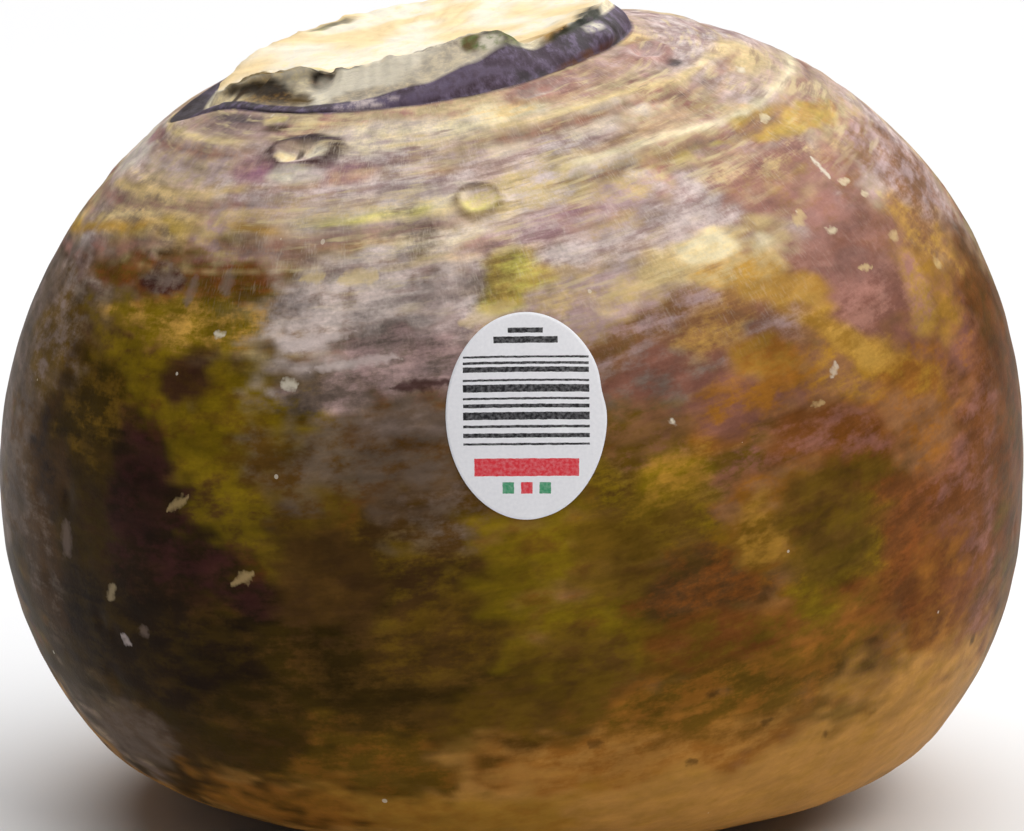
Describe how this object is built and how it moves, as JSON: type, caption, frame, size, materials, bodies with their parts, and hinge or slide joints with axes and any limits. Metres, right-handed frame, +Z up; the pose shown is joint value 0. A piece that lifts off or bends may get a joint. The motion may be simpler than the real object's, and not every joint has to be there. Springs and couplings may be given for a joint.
{
  "type": "rutabaga",
  "caption": "Whole trimmed rutabaga standing on its cut tap root, crown leaning, with an oval produce sticker on its front.",
  "frame": {"origin": "middle of the footprint, on the surface it stands on", "axes": "+Z up, +X to the right when the sticker faces the viewer, +Y away from the viewer, so the sticker faces -Y"},
  "size_m": [0.15, 0.146, 0.1191],
  "materials": {
    "waxed_skin": "thinly waxed root skin, purple and brown over olive and yellow, satin",
    "sticker_film": "printed label, satin"
  },
  "bodies": {
    "root": {"rutabaga_root": "waxed_skin", "produce_sticker": "sticker_film"}
  },
  "joints": []
}
